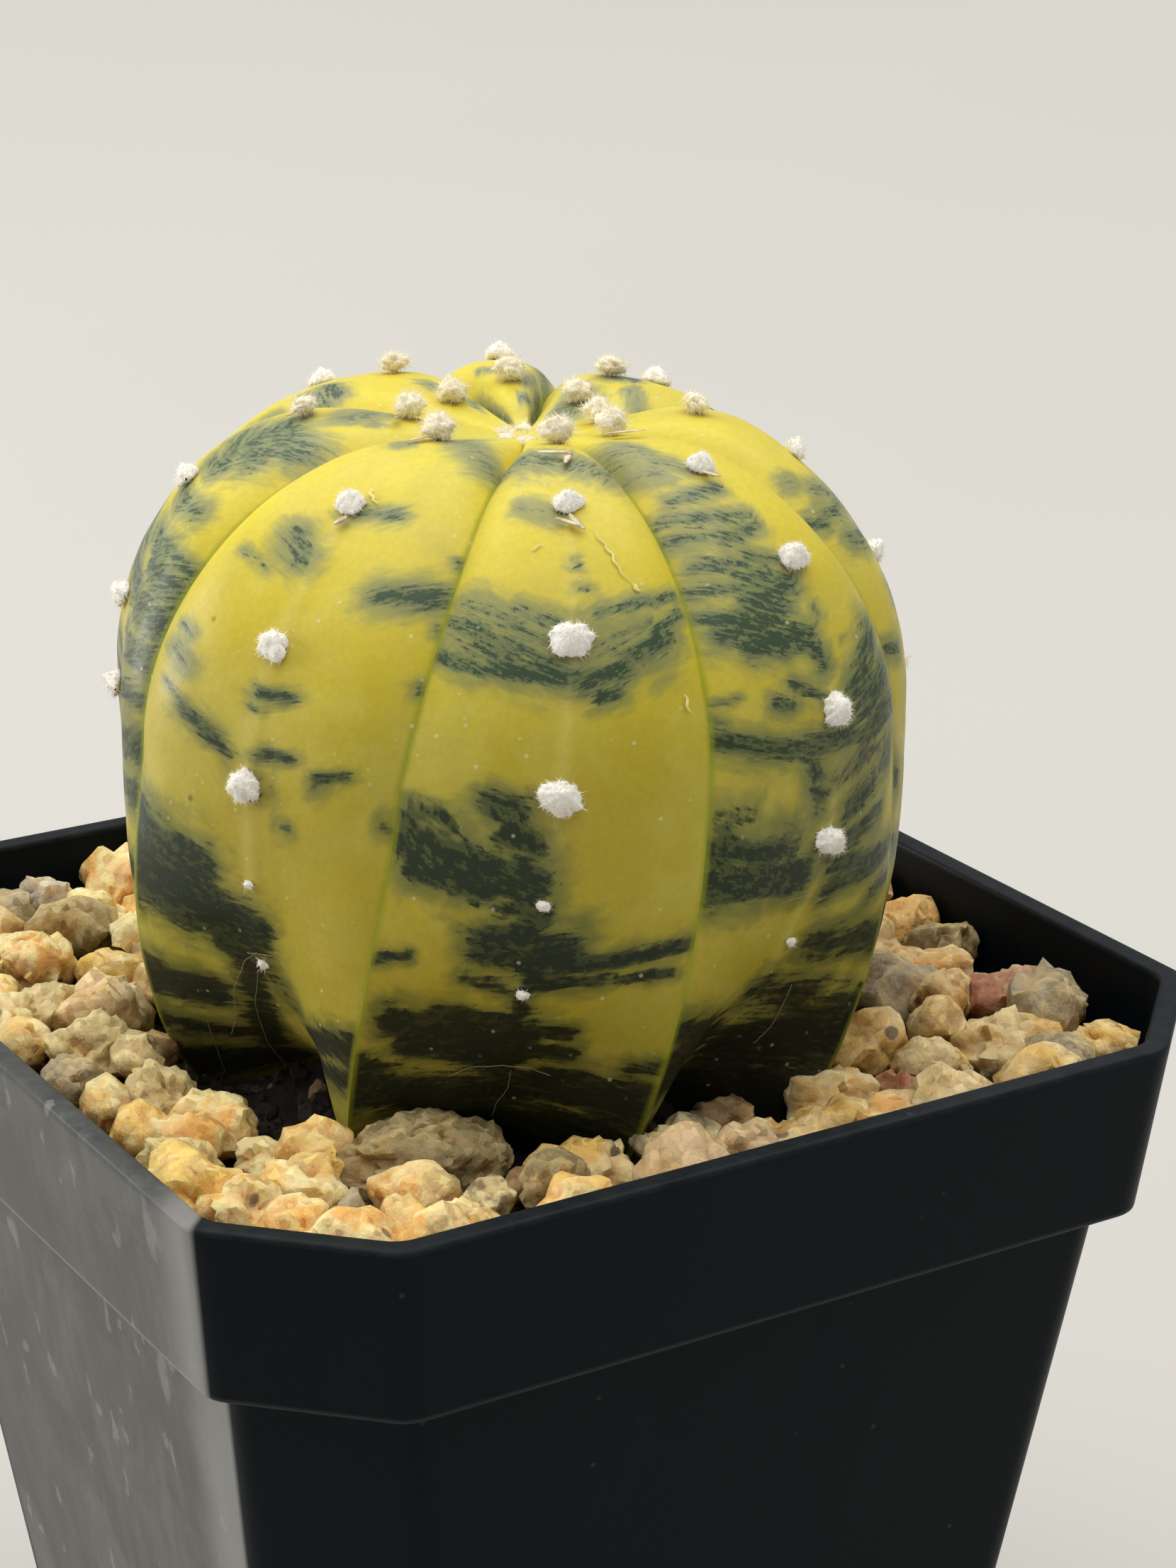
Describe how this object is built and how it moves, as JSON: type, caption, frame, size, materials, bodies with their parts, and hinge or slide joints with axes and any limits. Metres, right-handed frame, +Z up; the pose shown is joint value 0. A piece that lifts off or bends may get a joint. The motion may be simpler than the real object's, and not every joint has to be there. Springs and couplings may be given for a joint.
{
  "type": "potted variegated sand dollar cactus",
  "caption": "Low ribbed ball cactus with woolly tufts, yellow skin streaked with green, bedded in pale grit in a square black nursery pot with cut corners.",
  "frame": {"origin": "middle of the pot's underside, on the surface that the pot stands on", "axes": "+Z up, X and Y square to the pot's four sides; the picture looks from -X and -Y, about 31 degrees round from -Y"},
  "size_m": [0.075, 0.075, 0.1147],
  "materials": {
    "pot_plastic": "matt black moulded plastic with dried water marks",
    "potting_soil": "dark crumbly soil",
    "quartz_grit": "angular translucent quartz grit, cream to orange",
    "stem_skin": "waxy satin skin, yellow with dark green streaks, and chalk white wool"
  },
  "bodies": {
    "root": {"pot": "pot_plastic", "soil": "potting_soil", "grit": "quartz_grit", "stem": "stem_skin"}
  },
  "joints": []
}
